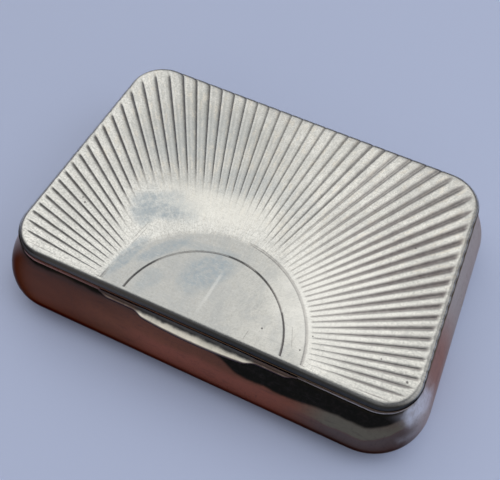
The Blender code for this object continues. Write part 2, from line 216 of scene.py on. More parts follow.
def flute_ends(number, angle, radius, inside):
    """How narrow and how strong a flute is towards its two ends, as shares."""
    even = 90 + number * PITCH
    line = np.radians(even + lean(even))
    exit_x, exit_y = march(
        0 * radius, 0 * radius + FRONT, np.cos(line), np.sin(line), -1e-6, 3 * HALF_LENGTH
    )
    past_side = np.abs(exit_x) > HALF_LENGTH - CORNER
    in_corner = past_side & (np.abs(exit_y) > HALF_WIDTH - CORNER)
    point = np.clip((inside - CORNER_LAND) / CORNER_POINT_LENGTH, 0, 1)
    narrow = np.where(in_corner, np.maximum(point, 0.01) ** 0.7, 1)
    narrow = narrow * (0.62 + 0.38 * smooth(radius, 17.0, 25.0))
    # flutes that end at a side get shallow for a short way before the rolled edge
    ridge = smooth(-inside, -1.5, -CORNER_LAND) * (1 - smooth(-inside, -0.7, -0.2))
    strength = np.where(past_side & ~in_corner, 1 - 0.85 * ridge, 1)
    strength = strength * np.where(in_corner, np.minimum(point * 3, 1), 1)
    start = np.interp(angle, WEAR_ANGLES, WEAR_RADII)
    start = np.where(np.abs(number) == FLUTES_EACH_SIDE, SHORT_FLUTE_START, start)
    worn_start = smooth(radius, start - 2.0, start + 5.0)
    crisp_start = smooth(radius, start - 0.1, start + 0.4)
    return narrow, strength * np.where(start > FLUTE_START + 0.6, worn_start, crisp_start)


def flute_tarnish_and_shade(angle, radius, offset, narrow, strength):
    """How dark a flute is: tarnish in its notch with painted shade on one side, and at the upper right a
    broad band of tarnish and painted shade beside its middle.
    """
    right, left = at_right(angle), at_left(angle)
    share = 2 * np.abs(offset)
    # the dark in the notch reaches further on one side: painted shade beside the tarnish
    dark_reach = 0.28 + 0.28 * right + 0.08 * left + 0.08 * np.sign(offset) * (1 - right)
    tarnish_and_shade = (1 - smooth(share / narrow, 0, dark_reach)) * strength
    tarnish_and_shade = tarnish_and_shade * (0.5 + 0.24 * right + 0.34 * left) * smooth(radius, 14, 25)
    # the broad band sits off the flute's middle, on its shaded slope: tarnish and painted shade
    beside = offset - BAND_SHIFT_SHARE
    beside = 2 * np.abs(beside - np.round(beside)) / narrow
    wide = np.interp(angle, BAND_ANGLES, BAND_WIDTH_SHARES)
    full = np.interp(angle, BAND_ANGLES, BAND_STRENGTH_SHARES)
    band = (1 - smooth(beside, 0.25 * wide, 1.75 * wide)) * strength * full
    band = band * (0.5 + 0.41 * smooth(radius, 16, 32))
    banded = smooth(angle, 16, 32) * (1 - smooth(angle, 76, 92))
    return np.clip(tarnish_and_shade + (band - tarnish_and_shade) * banded, 0, 1)


def flute_highlight(angle, offset, strength):
    """How strong the painted highlight on a flute is: on one of its shoulders, and on the lands of those
    above the sun.
    """
    share = 2 * np.abs(offset)
    # a painted highlight on one shoulder only, the side that catches the light
    shoulder = smooth(share, 0.16, 0.30) * (1 - smooth(share, 0.42, 0.60))
    shoulder = shoulder * (offset < 0) * (1 - at_right(angle))
    ridge = np.where(offset > 0, smooth(share, 0.55, 0.8), smooth(share, 0.85, 1.0))
    ridge = 0.5 * ridge * smooth(angle, 75, 90) * (1 - smooth(angle, 125, 140))
    return (shoulder + ridge) * strength


def flutes(x, y):
    """Depth of the sunburst in millimetres, its tarnish with painted shade, and its painted highlight
    there.
    """
    radius = np.hypot(x, y - FRONT)
    angle = np.degrees(np.arctan2(y - FRONT, x))
    count = flute_count(angle)
    number = np.clip(np.round(count), -FLUTES_EACH_SIDE, FLUTES_EACH_SIDE)
    offset = count - number
    side = np.sign(offset)
    narrow, strength = flute_ends(number, angle, radius, -edge_distance(x, y))
    # a notch in the middle and a rounded shoulder on either side of it, as shares of the half pitch
    right, left = at_right(angle), at_left(angle)
    far_right = 1 - smooth(angle, 18, 52)
    notch = (0.20 + 0.04 * right) * narrow
    reach = (0.62 + 0.20 * side + far_right * (0.22 - 0.32 * side) + left * 0.12) * narrow
    notch_slope = 0.42 - 0.24 * right + 0.02 * left
    shoulder_slope = 0.26 + 0.04 * right + 0.12 * left
    share = 2 * np.abs(offset)
    shoulder = np.clip(reach - np.maximum(share, notch), 0, None) ** 2 / (2 * (reach - notch))
    drop = shoulder_slope * shoulder + notch_slope * np.clip(notch - share, 0, None)
    depth = radius * math.radians(PITCH / 2) * drop * strength
    tarnish_and_shade = flute_tarnish_and_shade(angle, radius, offset, narrow, strength)
    return depth, tarnish_and_shade, flute_highlight(angle, offset, strength)


def ring_line(radius, centre, width, depth):
    """A fine engraved line."""
    share = np.clip(np.abs(radius - centre) / width, 0, 1)
    return depth * (1 - share * share * (3 - 2 * share))


def lid_relief(x, y):
    """How far the lid's top lies below its highest plane, its tarnish with painted shade, and its painted
    highlight there.
    """
    radius = np.hypot(x, y - FRONT)
    angle = np.degrees(np.arctan2(y - FRONT, x))
    depth, tarnish_and_shade, highlight = flutes(x, y)
    edge_worn = 1 - 0.65 * smooth(angle, 75, 95) * (1 - smooth(angle, 165, 175))
    ring_worn = 1 - 0.35 * smooth(angle, 80, 100) * (1 - smooth(angle, 136, 150))
    ring_radius = np.hypot(x - SUN_RING_SHIFT, y - FRONT)
    ring = ring_line(ring_radius, SUN_RING, RING_WIDTH, RING_DEPTH) * ring_worn
    step = ring_line(radius, SUN_EDGE, STEP_WIDTH, STEP_DEPTH) * edge_worn
    sink = DISC_SINK * smooth(-radius, -SUN_EDGE - 0.3, -SUN_EDGE + 0.4)
    hollow_x, hollow_y = HOLLOW_PLACE
    hollow = HOLLOW_DEPTH * np.exp(-((x - hollow_x) ** 2 + (y - FRONT - hollow_y) ** 2) / HOLLOW_SPREAD)
    tarnish_and_shade = np.maximum(tarnish_and_shade, 0.95 * ring / RING_DEPTH)
    tarnish_and_shade = np.maximum(tarnish_and_shade, 0.45 * step / STEP_DEPTH)
    return depth + ring + step + sink + hollow, tarnish_and_shade, highlight


def new_piece(name, points, faces, body, replaced, attributes=()):
    """A smooth mesh piece from points in millimetres."""
    mesh = bpy.data.meshes.new(name)
    mesh.from_pydata((np.asarray(points) * MM).tolist(), [], [list(map(int, face)) for face in faces])
    for label, values in attributes:
        layer = mesh.attributes.new(label, "FLOAT", "POINT")
        layer.data.foreach_set("value", np.asarray(values, dtype=np.float32))
    shape = bmesh.new()
    shape.from_mesh(mesh)
    bmesh.ops.remove_doubles(shape, verts=shape.verts, dist=MERGE_DISTANCE * MM)
    bmesh.ops.dissolve_degenerate(shape, edges=shape.edges, dist=MERGE_DISTANCE / 2 * MM)
    bmesh.ops.recalc_face_normals(shape, faces=shape.faces)
    shape.to_mesh(mesh)
    shape.free()
    mesh.shade_smooth()
    mesh.set_sharp_from_angle(angle=SHARP_ANGLE)
    piece = bpy.data.objects.new(name, mesh)
    bpy.context.scene.collection.objects.link(piece)
    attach(piece, body)
    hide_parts(replaced)
    return piece


def grid_faces(rows, columns, start=0, wrap=False):
    """Quads of a grid whose points are stored row by row."""
    faces = []
    last = columns if wrap else columns - 1
    for row in range(rows - 1):
        for column in range(last):
            after = (column + 1) % columns
            low = start + row * columns
            high = low + columns
            faces.append((low + column, low + after, high + after, high + column))
    return faces


def lid_angles():
    """Angles round the sun at which the lid's columns of points stand, in degrees."""
    numbers = range(-FLUTES_EACH_SIDE - 1, FLUTES_EACH_SIDE + 2)
    even = np.array([90 + (number + share) * PITCH for number in numbers for share in COLUMN_SHARES])
    angles = even + lean(even)
    lowest = math.degrees(math.atan2(ROLL, HALF_LENGTH - CORNER))
    close = lowest + END_COLUMN_STEP * np.arange(END_COLUMNS)
    angles = angles[(angles > close[-1]) & (angles < 180 - close[-1])]
    return np.concatenate([close, angles, 180 - close[::-1]])


def lid_rows():
    """Rows of points over the flat of the lid, from its front line outwards."""
    angles = np.radians(lid_angles())
    cosine, sine = np.cos(angles), np.sin(angles)
    flat_start = ROLL / sine
    inner = np.maximum(INNER_DISC, flat_start)
    front_x = np.where(INNER_DISC * sine > ROLL, INNER_DISC * cosine, flat_start * cosine)
    line_x, line_y = flat_start * cosine, FRONT + ROLL + 0 * sine
    rim_x, rim_y = march(line_x, line_y, cosine, sine, -ROLL, 3 * HALF_LENGTH)
    reach = np.hypot(rim_x, rim_y - FRONT)
    rows = []
    for share in np.linspace(0, 1, DISC_ROWS + 1)[:-1]:
        x = front_x + share * (inner * cosine - front_x)
        y = FRONT + ROLL + share * (inner * sine - ROLL)
        rows.append((x, y))
    for ring in RING_RADII:
        radius = np.clip(ring, inner, reach)
        rows.append((radius * cosine, FRONT + radius * sine))
    outer_start = np.clip(RING_RADII[-1], inner, reach)
    for share in OUTER_SHARES:
        radius = outer_start + (reach - outer_start) * share
        rows.append((radius * cosine, FRONT + radius * sine))
    return rows


def lid_layer(x, y, height, tarnish_and_shade=0.0, highlight=0.0, shade=0.0):
    """A row of the lid's points, each with its three values for the paint."""
    return np.column_stack(np.broadcast_arrays(x, y, height, tarnish_and_shade, highlight, shade))


def lid_edge(start_x, start_y, on_front):
    """Layers of points down the rolled edge and in under the lid, from a loop round its flat part."""
    normal_x, normal_y = edge_normal(start_x, start_y)
    ray_x, ray_y = start_x, start_y - FRONT
    length = np.hypot(ray_x, ray_y)
    along = smooth(start_y, FRONT + CORNER, FRONT + 2 * CORNER) * ~on_front
    step_x = np.where(on_front, 0, normal_x * (1 - along) + ray_x / length * along)
    step_y = np.where(on_front, -1, normal_y * (1 - along) + ray_y / length * along)
    layers = []
    for step in range(1, ROLL_STEPS + 1):
        turn = math.pi / 2 * step / ROLL_STEPS
        x, y = march(start_x, start_y, step_x, step_y, -ROLL + ROLL * math.sin(turn), 4 * ROLL)
        depth, dark, _ = flutes(x, y)
        depth = np.where(on_front, 0, depth)
        dark = np.where(on_front, 0, dark)
        out_x, out_y = edge_normal(x, y)
        fall = depth * (1 - 0.8 * math.sin(turn))
        x = x - out_x * fall * math.sin(turn)
        y = y - out_y * fall * math.sin(turn)
        height = TOP - ROLL + ROLL * math.cos(turn) - fall * math.cos(turn)
        layers.append(lid_layer(x, y, height, dark, shade=edge_shade(out_x, out_y, height)))
    edge_x, edge_y = march(start_x, start_y, step_x, step_y, 0, 4 * ROLL)
    out_x, out_y = edge_normal(edge_x, edge_y)
    underside = (
        (-0.02, PLATE_BOTTOM + 0.02), (-0.05, PLATE_BOTTOM), (-RIM_WALL, PLATE_BOTTOM),
        (-RIM_WALL, CEILING), (-RIM_WALL - 3, CEILING),
    )
    for offset, height in underside:
        layers.append(lid_layer(edge_x + out_x * offset, edge_y + out_y * offset, height, shade=1.0))
    return layers


def make_lid_top():
    """The lid's plate with rolled edge, flutes and its hollow underside, as one closed mesh."""
    rows = lid_rows()
    count = len(rows[0][0])
    flat = []
    for x, y in rows:
        depth, dark, light = lid_relief(x, y)
        flat.append(lid_layer(x, y, TOP - depth, dark, light))
    faces = grid_faces(len(rows), count)

    # the loop round the flat part: round the outside, then back along the front
    first = len(rows) * count
    loop = list(range(first - count, first)) + list(range(count - 2, 0, -1))
    start_x = np.concatenate([rows[-1][0], rows[0][0][count - 2:0:-1]])
    start_y = np.concatenate([rows[-1][1], rows[0][1][count - 2:0:-1]])
    edge = lid_edge(start_x, start_y, np.arange(len(loop)) >= count)
    size = len(loop)
    for column in range(size):
        after = (column + 1) % size
        faces.append((loop[column], loop[after], first + after, first + column))
    faces += grid_faces(len(edge), size, first, wrap=True)
    last = first + (len(edge) - 1) * size
    faces.append(tuple(last + column for column in range(size)))
    table = np.concatenate(flat + edge)
    return new_piece(
        "worn_lid_top", table[:, :3], faces, "lid", "lid_plate",
        [("tarnish_and_shade", table[:, 3]), ("highlight", table[:, 4]), ("shade", table[:, 5])],
    )


def edge_shade(out_x, out_y, height):
    """How dark the rolled edge is, 0 to 1: most in front, little behind, at the sides only low down."""
    front = smooth(-out_y, 0.3, 0.9)
    back = smooth(out_y, 0.3, 0.9)
    side = smooth(np.abs(out_x), 0.3, 0.9)
    drop = TOP - height
    dark = front * (0.68 * smooth(drop, 0.05, 0.14) + 0.32 * smooth(drop, 0.13, 0.26))
    dark = dark + 0.3 * back * smooth(drop, 0.2, 0.6)
    return np.clip(dark + 0.9 * side * smooth(drop, 0.2, 0.5), 0, 1)


def outline_points(offset, corner_steps, long_steps, short_steps):
    """Rounded rectangle of the seam moved outward by offset, with points along its sides too."""
    radius = CORNER + offset
    corners = []
    for quarter, (side_x, side_y) in enumerate(((1, 1), (-1, 1), (-1, -1), (1, -1))):
        centre_x = side_x * (HALF_LENGTH - CORNER)
        centre_y = side_y * (HALF_WIDTH - CORNER)
        turns = [(quarter + step / corner_steps) * math.pi / 2 for step in range(corner_steps + 1)]
        corners.append([(centre_x + radius * math.cos(t), centre_y + radius * math.sin(t)) for t in turns])
    points = []
    for number, corner in enumerate(corners):
        points += corner
        start = Vector(corner[-1])
        end = Vector(corners[(number + 1) % 4][0])
        steps = long_steps if number % 2 == 0 else short_steps
        points += [tuple(start.lerp(end, step / steps)) for step in range(1, steps)]
    return np.array(points)


def swept(name, profile, body, replaced, closed):
    """Sweep a half section of (offset, height) round the box; capped unless closed."""
    rings = []
    for offset, height in profile:
        ring = outline_points(offset, corner_steps=20, long_steps=60, short_steps=40)
        rings.append(np.column_stack([ring, np.full(len(ring), height)]))
    points = np.concatenate(rings)
    size = len(rings[0])
    faces = grid_faces(len(rings), size, wrap=True)
    last = (len(rings) - 1) * size
    if closed:
        faces += [(last + i, last + (i + 1) % size, (i + 1) % size, i) for i in range(size)]
    else:
        faces.append(tuple(range(size)))
        faces.append(tuple(last + i for i in range(size)))
    return new_piece(name, points, faces, body, replaced)


def wall_profile(seam_offset, bulge, radius, steps):
    """Half section of the base from its flat bottom to the seam."""
    points = []
    for step in range(steps + 1):
        turn = (step / steps - 1) * math.pi / 2
        points.append((bulge - radius + radius * math.cos(turn), BOTTOM_RADIUS + radius * math.sin(turn)))
    rise = SEAM - BOTTOM_RADIUS
    low_share, high_share = WALL_HANDLE_SHARES
    start = Vector(points[-1])
    start_handle = start + Vector((0, rise * low_share))
    end = Vector((seam_offset, SEAM))
    end_handle = end + rise * high_share * Vector((math.tan(WALL_SLANT), -1))
    for step in range(1, steps + 1):
        done = step / steps
        left = 1 - done
        points.append(tuple(
            left**3 * start + 3 * left * left * done * start_handle
            + 3 * left * done * done * end_handle + done**3 * end
        ))
    return points


def cut_with(piece, low, high):
    """Cut a box, given by its corners in millimetres, out of a piece."""
    bpy.ops.mesh.primitive_cube_add(size=1)
    tool = bpy.context.active_object
    tool.scale = (Vector(high) - Vector(low)) * MM
    tool.location = (Vector(high) + Vector(low)) / 2 * MM
    apply_cut(piece, tool)


def apply_cut(piece, tool):
    """Apply a Boolean difference and remove its tool."""
    boolean = piece.modifiers.new("cut", "BOOLEAN")
    boolean.operation = "DIFFERENCE"
    boolean.solver = "EXACT"
    boolean.object = tool
    with bpy.context.temp_override(object=piece, active_object=piece, selected_objects=[piece]):
        bpy.ops.object.modifier_apply(modifier="cut")
    bpy.data.objects.remove(tool, do_unlink=True)
    piece.data.shade_smooth()
    piece.data.set_sharp_from_angle(angle=SHARP_ANGLE)


def make_base():
    """The base's tray, with the groove for the hinge barrel along its back."""
    outside = wall_profile(0, BULGE, BOTTOM_RADIUS, steps=14)
    inside = wall_profile(-SEAM_LAND, BULGE - WALL, BOTTOM_RADIUS - WALL, steps=10)
    # the tray's top edge is broken, outside and inside
    outside[-1:] = [(0.035, SEAM - 0.06), (-0.05, SEAM)]
    inside[-1:] = [(-SEAM_LAND + 0.05, SEAM)]
    base = swept("worn_base", outside + inside[::-1], "base", "base_shell", closed=False)
    bpy.ops.mesh.primitive_cylinder_add(
        vertices=48, radius=GROOVE_RADIUS * MM, depth=2 * RECESS_HALF * MM,
        location=AXIS * MM, rotation=(0, math.pi / 2, 0),
    )
    apply_cut(base, bpy.context.active_object)
    return base


def make_rim():
    """The lid's side band, open at the hinge, its lower edge turned out a little."""
    low, high = RIM_LOW, PLATE_BOTTOM
    profile = [
        (0.0, high - 0.10), (-0.10, high), (-RIM_WALL + EDGE_BREAK, high), (-RIM_WALL, high - EDGE_BREAK),
        (-RIM_WALL, low + EDGE_BREAK), (-RIM_WALL + EDGE_BREAK, low), (-0.09, low), (-0.03, low + 0.03),
        (0.0, low + 0.10), (-0.05, low + 0.22), (-0.07, low + 0.5), (-0.05, high - 0.28),
    ]
    rim = swept("worn_rim", profile, "lid", "lid_rim", closed=True)
    corner = (-RECESS_HALF, AXIS.y - RECESS_REACH, low - CUT_OVERRUN)
    opposite = (RECESS_HALF, AXIS.y + RECESS_REACH, high + CUT_OVERRUN)
    cut_with(rim, corner, opposite)
    return rim


def lip_reach(x):
    """How far the thumb lip stands out at x: a crescent, a short step down, then a narrow wing."""
    past_lip = abs(x) - LIP_HALF_WIDTH
    past_wing = past_lip - LIP_STEP_LENGTH - WING_LENGTH
    crescent = LIP_REACH - (LIP_REACH - LIP_END_REACH) * (x / LIP_HALF_WIDTH) ** 2
    wing = WING_REACH + (WING_END_REACH - WING_REACH) * smooth(past_wing, 0, WING_END_LENGTH)
    return crescent + (wing - crescent) * smooth(past_lip, 0, LIP_STEP_LENGTH)


def make_thumb_lip():
    """The thumb lip with its hollowed upper side, thin edge and wings."""
    rings = []
    for x in np.linspace(-lip_high.x, lip_high.x, LIP_COLUMNS):
        reach = lip_reach(x)
        tip = LIP_ROOT - reach
        height = LIP_EDGE + (lip_high.z - LIP_LOW - LIP_EDGE) * math.sqrt(reach / LIP_REACH)
        edge = min(LIP_EDGE, height)
        ring = [(x, LIP_ROOT, LIP_LOW), (x, tip + 0.05, LIP_LOW), (x, tip, LIP_LOW + 0.06)]
        for step in range(LIP_ARC_STEPS + 1):
            turn = step / LIP_ARC_STEPS * math.pi / 2
            across = LIP_ROOT - reach * (1 - math.sin(turn))
            ring.append((x, across, LIP_LOW + edge + (height - edge) * (1 - math.cos(turn))))
        rings.append(ring)
    size = len(rings[0])
    faces = grid_faces(len(rings), size, wrap=True)
    faces.append(tuple(range(size)))
    faces.append(tuple((len(rings) - 1) * size + i for i in range(size)))
    return new_piece("worn_thumb_lip", np.concatenate(rings), faces, "lid", "thumb_piece")


class Paint:
    """A node material put together step by step; places are in millimetres."""

    def __init__(self, name):
        self.material = bpy.data.materials.new(name)
        self.material.use_nodes = True
        self.tree = self.material.node_tree
        self.shader = self.tree.nodes["Principled BSDF"]
        coordinates = self.tree.nodes.new("ShaderNodeTexCoord")
        inputs = {0: coordinates.outputs["Object"], "Scale": 1 / MM}
        self.place = self.node("VectorMath", inputs, operation="SCALE").outputs["Vector"]
        self.x, self.y, self.z = self.split(self.place)

    def put(self, socket, value):
        """Link or set an input; None leaves it alone."""
        if isinstance(value, bpy.types.NodeSocket):
            self.tree.links.new(value, socket)
        elif value is not None:
            socket.default_value = value

    def node(self, kind, inputs, **settings):
        """A new node with its settings, and its inputs linked or set."""
        node = self.tree.nodes.new("ShaderNode" + kind)
        for label, value in settings.items():
            setattr(node, label, value)
        for label, value in inputs.items():
            self.put(node.inputs[label], value)
        return node

    def split(self, place):
        """The three coordinates of a place."""
        return self.node("SeparateXYZ", {0: place}).outputs

    def vector(self, operation, first, second=None):
        node = self.node("VectorMath", {0: first, 1: second}, operation=operation)
        return node.outputs["Value" if operation == "LENGTH" else "Vector"]

    def math(self, operation, first, second=None):
        return self.node("Math", {0: first, 1: second}, operation=operation).outputs[0]

    def fold(self, operation, first, *others):
        """One value from several, such as their product or the largest."""
        for other in others:
            first = self.math(operation, first, other)
        return first

    def times(self, *values):
        return self.fold("MULTIPLY", *values)

    def step(self, value, low, high, start=0.0, end=1.0):
        """Smooth change from start at low to end at high."""
        inputs = {"Value": value, "From Min": low, "From Max": high, "To Min": start, "To Max": end}
        return self.node("MapRange", inputs, interpolation_type="SMOOTHSTEP").outputs["Result"]

    def around(self, centre, round_share, out_share):
        """Place measured round a centre and outwards from it, both scaled."""
        east, north, _ = self.split(self.vector("SUBTRACT", self.place, (*centre, 0.0)))
        angle = self.math("ARCTAN2", north, east)
        square = self.math("ADD", self.times(east, east), self.times(north, north))
        inputs = {0: self.times(angle, round_share), 1: self.times(self.math("SQRT", square), out_share)}
        return self.node("CombineXYZ", inputs).outputs[0]

    def noise(self, scale, detail=3.0, roughness=0.5, stretch=None, distortion=0.0, shift=0.0, place=None):
        """Noise whose scale is in waves per millimetre."""
        place = place or self.place
        if stretch:
            place = self.vector("MULTIPLY", place, stretch)
        if shift:
            place = self.vector("ADD", place, (shift, shift, shift))
        inputs = {"Vector": place, "Scale": scale, "Detail": detail, "Roughness": roughness,
                  "Distortion": distortion}
        return self.node("TexNoise", inputs).outputs[0]

    def mix(self, factor, first, second):
        inputs = {"Factor": factor, 6: self.colour(first), 7: self.colour(second)}
        return self.node("Mix", inputs, data_type="RGBA").outputs[2]

    @staticmethod
    def colour(value):
        """A colour of three numbers gets its fourth; a socket stays as it is."""
        return (*value, 1.0) if isinstance(value, tuple) and len(value) == 3 else value

    def attribute(self, name):
        return self.node("Attribute", {}, attribute_name=name).outputs["Fac"]

    def turned(self, centre, turn):
        """Place on the plan measured from a centre and turned by degrees."""
        shifted = self.vector("SUBTRACT", self.place, (*centre, 0.0))
        inputs = {"Vector": shifted, "Angle": -math.radians(turn)}
        return self.node("VectorRotate", inputs, rotation_type="Z_AXIS").outputs[0]

    def spot(self, centre, size, turn=0.0, soft=0.35, ragged=0.25):
        """A soft elliptical patch on the plan, with a ragged edge."""
        scaled = self.vector("MULTIPLY", self.turned(centre, turn), (1 / size[0], 1 / size[1], 0.0))
        wave = self.math("SUBTRACT", self.noise(0.35, 3, shift=centre[0]), 0.5)
        distance = self.math("ADD", self.vector("LENGTH", scaled), self.times(wave, 4 * ragged))
        return self.step(distance, 1.0 + soft, 1.0 - soft)

    def scratch(self, start, end, width):
        """A thin straight scratch on the plan between two points."""
        start, end = Vector(start), Vector(end)
        turn = math.degrees(math.atan2(end.y - start.y, end.x - start.x))
        along, across, _ = self.split(self.turned((start + end) / 2, turn))
        half = (end - start).length / 2
        along = self.step(self.math("ABSOLUTE", along), half, half * 0.7)
        across = self.step(self.math("ABSOLUTE", across), width, width * 0.3)
        return self.times(along, across)

    def bump(self, height, strength, distance):
        inputs = {"Strength": strength, "Distance": distance * MM, "Height": height}
        return self.node("Bump", inputs).outputs[0]

    def finish(self, colour, roughness, normal, edge=None):
        """Set up the metal; edge is its tint at grazing angles."""
        self.put(self.shader.inputs["Base Color"], self.colour(colour))
        self.put(self.shader.inputs["Specular Tint"], self.colour(edge))
        self.put(self.shader.inputs["Roughness"], roughness)
        self.put(self.shader.inputs["Metallic"], 1.0)
        self.put(self.shader.inputs["Normal"], normal)
        return self.material


# Fine scratches, as the stretch of their noise and its scale
HAIRLINES = (((0.5, 9.0, 1.0), 0.5), ((9.0, 0.6, 1.0), 0.45), ((3.0, 3.0, 6.0), 0.5))


def hairlines(paint):
    """Fine scratches in several directions, 0 to 1."""
    lines = []
    for number, (stretch, scale) in enumerate(HAIRLINES):
        noise = paint.noise(scale, 2, 0.6, stretch, 0.3, 7.0 * number + 3.0)
        lines.append(paint.step(noise, 0.60, 0.70))
    return paint.fold("MAXIMUM", *lines)


# Colours of the lid; a pair runs from left to right
LID_WHITES = ((0.89, 0.885, 0.85), (0.94, 0.93, 0.885))
LID_MOTTLE = (0.62, 0.62, 0.60)
LID_BACK_EDGE_SHADE = (0.46, 0.48, 0.51)
DISC_GREYS = ((0.555, 0.56, 0.55), (0.68, 0.675, 0.64))
DULL_GREY = (0.42, 0.425, 0.41)
HIGHLIGHT_WHITE = (0.93, 0.925, 0.90)
STREAK_GREY = (0.50, 0.51, 0.50)
WARM_TINT = (0.86, 0.79, 0.68)
DUST_GREY = (0.46, 0.455, 0.43)
SMUDGE_BLUE = (0.36, 0.415, 0.46)
CLOUD_GREY = (0.44, 0.46, 0.47)
BRUSHED_WHITE = (0.80, 0.80, 0.77)
LAND_HIGHLIGHT = (0.99, 0.98, 0.94)
HIGHLIGHT_PATCH = (0.90, 0.885, 0.83)
STAINS_AND_SHADE = ((0.12, 0.105, 0.095), (0.165, 0.135, 0.14))
LID_HAIRLINE = (0.35, 0.34, 0.33)
MARK_DARK = (0.09, 0.075, 0.075)
MARK_PALE = (0.88, 0.88, 0.86)
FRONT_EDGE_SHADES = ((0.088, 0.08, 0.072), (0.020, 0.021, 0.022))
SIDE_EDGE_SHADES = ((0.24, 0.24, 0.23), (0.22, 0.165, 0.085))
BACK_EDGE_SHADE = (0.42, 0.44, 0.50)
GRAZING_EDGE_SHADE = (0.20, 0.17, 0.13)
NO_TINT = (1.0, 1.0, 1.0)

# Patches on the lid, as centre, size, turn in degrees and strength
DULL_SPOTS = (((-11.5, 9.5), (13.0, 10.5), -5, 0.62), ((-21.0, 9.0), (8.0, 11.0), 0, 0.4))
SMUDGES = (
    ((-13.5, -5.6), (5.2, 2.7), 12, 0.85), ((-16.6, -8.8), (2.6, 1.5), -35, 0.75),
    ((-14.6, -16.5), (1.0, 4.4), -15, 0.85), ((-10.5, -13.4), (1.0, 4.8), -40, 0.85),
    ((-3.4, -9.9), (4.6, 0.8), 10, 0.45), ((-2.6, -13.8), (2.6, 4.2), -35, 0.95),
    ((-9.6, -18.8), (1.3, 2.6), -25, 0.5), ((-4.6, 3.6), (6.0, 3.0), 20, 0.3),
    ((5.2, 4.0), (4.0, 2.6), 0, 0.22), ((-16.0, 9.0), (9.0, 5.0), 35, 0.25),
)

# Single marks on the lid: scratches as start, end and width, pits as place and size
SCRATCHES = (
    ((-15.3, -13.4), (-14.6, -9.5), 0.10), ((-15.0, -14.6), (-14.3, -10.6), 0.08),
    ((13.9, -19.6), (12.6, -16.2), 0.07), ((7.0, -21.3), (7.2, -19.5), 0.07),
)
PITS = (
    (-25.5, -10.9, 0.16), (-26.3, -10.2, 0.11), (8.8, -18.5, 0.13), (25.2, 4.5, 0.16),
    (30.4, -17.2, 0.17), (15.0, -19.2, 0.10), (15.9, -16.5, 0.09), (26.0, -15.5, 0.10),
)
PALE_SCRATCHES = (((-0.9, -20.8), (-0.2, -12.1)), ((-0.6, -18.6), (-0.4, -13.1)))
PALE_WIDTH = 0.34


def lid_ground(paint, radius, mottle):
    """The lid's bare metal: warm white, greyer on the disc and dull at the upper left, with painted
    highlights on the flutes and painted shade before the back edge.
    """
    white = paint.mix(paint.step(paint.x, -24.0, 20.0), *LID_WHITES)
    white = paint.mix(paint.step(mottle, 0.35, 0.7, 0.0, 0.4), white, LID_MOTTLE)
    # painted shade on the flat just before the back edge
    back = paint.step(paint.y, HALF_WIDTH - 2.0, HALF_WIDTH - 1.0, 0.0, 0.4)
    white = paint.mix(back, white, LID_BACK_EDGE_SHADE)
    disc = paint.mix(paint.step(paint.x, -4.0, 12.0), *DISC_GREYS)
    white = paint.mix(paint.step(radius, SUN_EDGE + 0.1, SUN_EDGE - 0.6), white, disc)
    for centre, size, turn, strength in DULL_SPOTS:
        dull = paint.times(paint.spot(centre, size, turn, 0.5), strength)
        white = paint.mix(dull, white, DULL_GREY)
    # painted highlight on the flutes' shoulders and lands
    return paint.mix(paint.times(paint.attribute("highlight"), 0.55), white, HIGHLIGHT_WHITE)


def lid_streaks(paint, white, grain, streaks, streak_place):
    """Grey and warm streaks that run outwards from the sun, and fine dust."""
    white = paint.mix(paint.step(streaks, 0.38, 0.66, 0.0, 0.42), white, STREAK_GREY)
    warm = paint.noise(2.6, 3, 0.6, place=streak_place, shift=13.0)
    warm = paint.times(paint.step(warm, 0.50, 0.68), paint.step(paint.y, -12.0, 2.0, 0.1, 0.45))
    white = paint.mix(warm, white, WARM_TINT)
    dusty = paint.times(paint.step(grain, 0.46, 0.62), paint.step(paint.x, -6.0, 16.0, 0.48, 0.36))
    return paint.mix(dusty, white, DUST_GREY)


def lid_smudges(paint, white, radius):
    """Bluish smudges, clouds and brushing, mostly on the disc, and two painted highlights."""
    speckle = paint.step(paint.noise(1.3, 5, 0.75, shift=9.0), 0.36, 0.64, 0.45, 1.0)
    for centre, size, turn, strength in SMUDGES:
        patch = paint.times(paint.spot(centre, size, turn), strength, speckle)
        white = paint.mix(patch, white, SMUDGE_BLUE)
    cloudy = paint.step(paint.noise(0.42, 5, 0.65, (1.0, 0.6, 1.0), 0.8, 21.0), 0.42, 0.66)
    cloudy = paint.times(cloudy, paint.step(radius, SUN_EDGE + 3.0, SUN_EDGE - 2.0, 0.0, 0.42))
    white = paint.mix(cloudy, white, CLOUD_GREY)
    brushed = paint.step(paint.noise(0.55, 3, 0.65, (1.6, 9.0, 1.0), 0.2, 31.0), 0.52, 0.72)
    brushed = paint.times(brushed, paint.step(radius, SUN_EDGE + 0.5, SUN_EDGE - 1.0, 0.0, 0.25))
    white = paint.mix(brushed, white, BRUSHED_WHITE)
    # two painted highlights: on the lands at the right, and a broad patch left of the middle
    land_highlight = paint.times(paint.spot((18.5, -9.0), (9.0, 10.0), 0, 0.6), 0.6)
    white = paint.mix(land_highlight, white, LAND_HIGHLIGHT)
    highlight_patch = paint.times(paint.spot((-5.5, -2.2), (8.5, 3.0), 8, 0.5), 0.55)
    return paint.mix(highlight_patch, white, HIGHLIGHT_PATCH)


def lid_marks(paint):
    """Dark scratches and pits, 0 to 1."""
    scratches = [paint.times(paint.scratch(start, end, width), 0.4) for start, end, width in SCRATCHES]
    pits = [paint.spot((x, y), (size, size), 0, 0.3, 0.0) for x, y, size in PITS]
    return paint.fold("MAXIMUM", *scratches, *pits)


